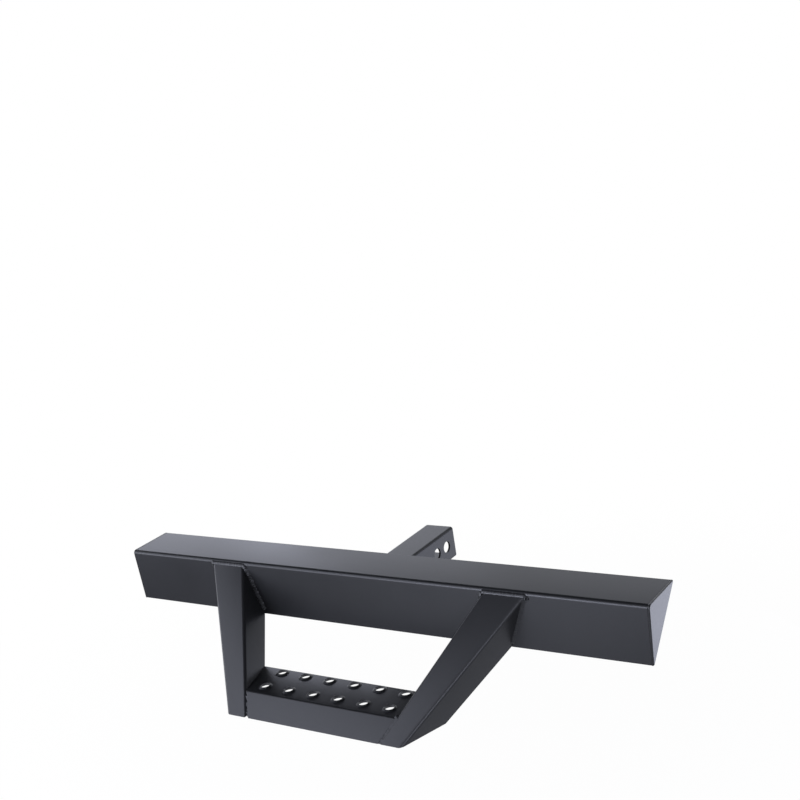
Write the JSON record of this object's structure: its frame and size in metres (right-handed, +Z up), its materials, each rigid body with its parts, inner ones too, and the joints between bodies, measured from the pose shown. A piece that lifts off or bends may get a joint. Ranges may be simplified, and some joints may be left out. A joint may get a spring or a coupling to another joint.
{
  "type": "hitch receiver step",
  "caption": "Welded steel step for a square receiver: an angle crossbar on a tube shank, with a holed tread slung below it from tapered folded legs.",
  "frame": {"origin": "middle of the shank, on the axis of the pin hole nearest the crossbar", "axes": "+X along the crossbar, +Y from the step towards the shank's open end, +Z up as fitted to a vehicle"},
  "size_m": [0.914, 0.402, 0.1705],
  "materials": {
    "powder_coat": "satin black powder coat with a fine texture",
    "coated_weld": "satin black powder coat over rippled weld metal"
  },
  "bodies": {
    "root": {"crossbar": "powder_coat", "shank_tube": "powder_coat", "step_tread": "powder_coat", "weld_shank": "coated_weld", "end_cap_right": "powder_coat", "end_cap_left": "powder_coat", "leg_right": "powder_coat", "leg_left": "powder_coat", "weld_cap_right": "coated_weld", "weld_cap_left": "coated_weld", "weld_leg_top_right": "coated_weld", "weld_leg_top_left": "coated_weld", "weld_leg_inner_right": "coated_weld", "weld_leg_inner_left": "coated_weld", "weld_leg_outer_right": "coated_weld", "weld_leg_outer_left": "coated_weld", "weld_step_seam_right": "coated_weld", "weld_step_seam_left": "coated_weld", "weld_step_tread_right": "coated_weld", "weld_step_tread_left": "coated_weld"}
  },
  "joints": []
}
